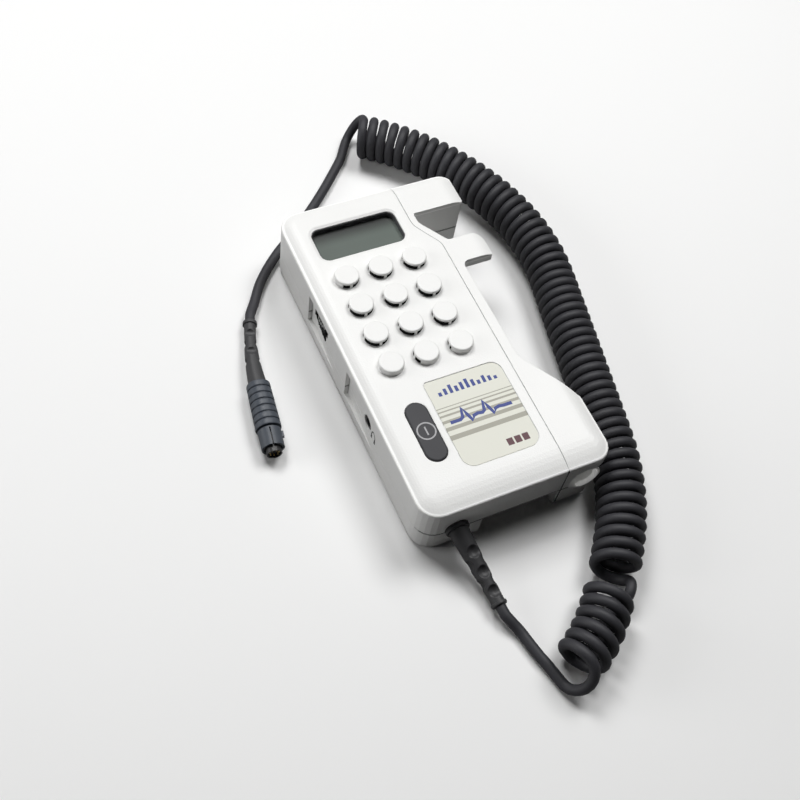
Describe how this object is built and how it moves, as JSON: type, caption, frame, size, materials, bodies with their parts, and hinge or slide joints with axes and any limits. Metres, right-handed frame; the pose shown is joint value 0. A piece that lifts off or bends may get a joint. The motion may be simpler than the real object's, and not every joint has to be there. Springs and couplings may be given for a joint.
{
  "type": "bidirectional doppler",
  "caption": "Hand-held vascular doppler unit with display, loudspeaker caps, side probe holder and a curly probe cord that ends in a round connector.",
  "frame": {"origin": "under the middle of the case, on the surface that it lies on; the cord and what is on it are left out", "axes": "+Z out of the face, +Y along the case towards the display end, +X towards the probe holder"},
  "size_m": [0.1471, 0.2611, 0.0296],
  "materials": {
    "case_plastic": "fine moulded texture",
    "door_plastic": "fine moulded texture",
    "cup_plastic": "satin",
    "black_plastic": "matt",
    "window_clear": "clear",
    "display_panel": "satin",
    "board_green": "satin",
    "speaker_paper": "matt",
    "speaker_metal": "zinc plated",
    "button_rubber": "matt",
    "wheel_plastic": "satin",
    "label_film": "satin print",
    "battery_can": "satin",
    "steel": "plated",
    "cord_rubber": "satin",
    "connector_plastic": "satin",
    "pin_brass": "plated"
  },
  "bodies": {
    "case": {"front_case": "case_plastic", "rear_case": "case_plastic", "holder_front": "case_plastic", "holder_rear": "case_plastic", "probe_cup": "cup_plastic", "display_frame": "black_plastic", "display_window": "window_clear", "lcd_module": "display_panel", "main_board": "board_green", "speaker_basket": "speaker_metal", "speaker_cone": "speaker_paper", "speaker_magnet": "speaker_metal", "power_switch": "black_plastic", "volume_pot": "speaker_metal", "headphone_socket": "black_plastic", "front_label": "label_film", "battery": "battery_can", "battery_contacts": "black_plastic", "case_screws": "steel", "holder_screws": "steel", "case_boot": "cord_rubber", "cord_lead": "cord_rubber", "cord_coil": "cord_rubber", "cord_tail": "cord_rubber", "connector_boot": "connector_plastic", "connector_grip": "connector_plastic", "connector_shell": "connector_plastic", "connector_insert": "black_plastic", "connector_pins": "pin_brass"},
    "button": {"power_button": "button_rubber", "switch_plunger": "black_plastic"},
    "wheel": {"volume_wheel": "wheel_plastic"},
    "door": {"battery_door": "door_plastic"}
  },
  "joints": [
    {"name": "power_press", "type": "slide", "parent": "case", "child": "button", "axis": [0, 0, -1], "range_m": [0, 0.0008], "stiffness_N_per_m": 300, "springref_m": -0.001},
    {"name": "volume_turn", "type": "hinge", "parent": "case", "child": "wheel", "pos_m": [-0.0294, 0.0229, 0.017], "axis": [0, 0, 1], "range_deg": [0, 270]},
    {"name": "door_slide", "type": "slide", "parent": "case", "child": "door", "axis": [0, -1, 0], "range_m": [0, 0.01]}
  ]
}
